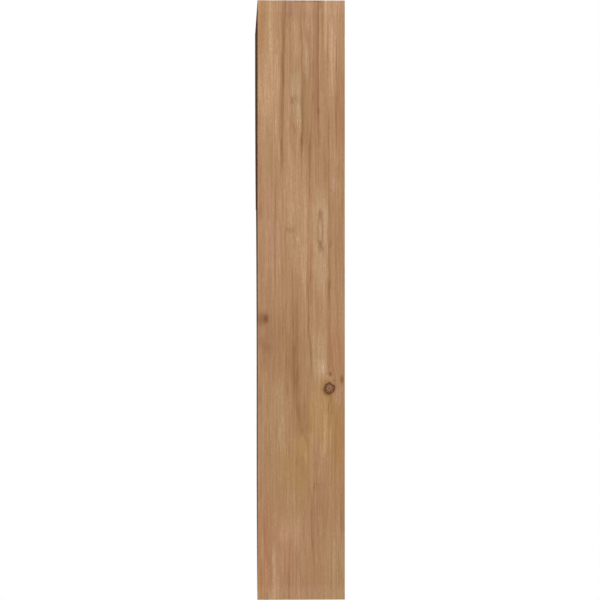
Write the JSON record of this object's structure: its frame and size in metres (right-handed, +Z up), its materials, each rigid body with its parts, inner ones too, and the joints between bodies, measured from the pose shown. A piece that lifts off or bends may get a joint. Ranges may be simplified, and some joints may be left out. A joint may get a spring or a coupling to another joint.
{
  "type": "wooden corbel",
  "caption": "Solid timber corbel for a wall: flat top to carry a load, full belly curve, square ledge, hollow cove, straight neck and rounded nose.",
  "frame": {"origin": "middle of the flat wall face, the face that goes against the wall", "axes": "+Z up the wall, +Y into the wall, so the corbel reaches out along -Y, and +X across the timber's width"},
  "size_m": [0.0888, 0.3048, 0.6096],
  "materials": {
    "softwood": "planed, unfinished"
  },
  "bodies": {
    "root": {"corbel_timber": "softwood"}
  },
  "joints": []
}
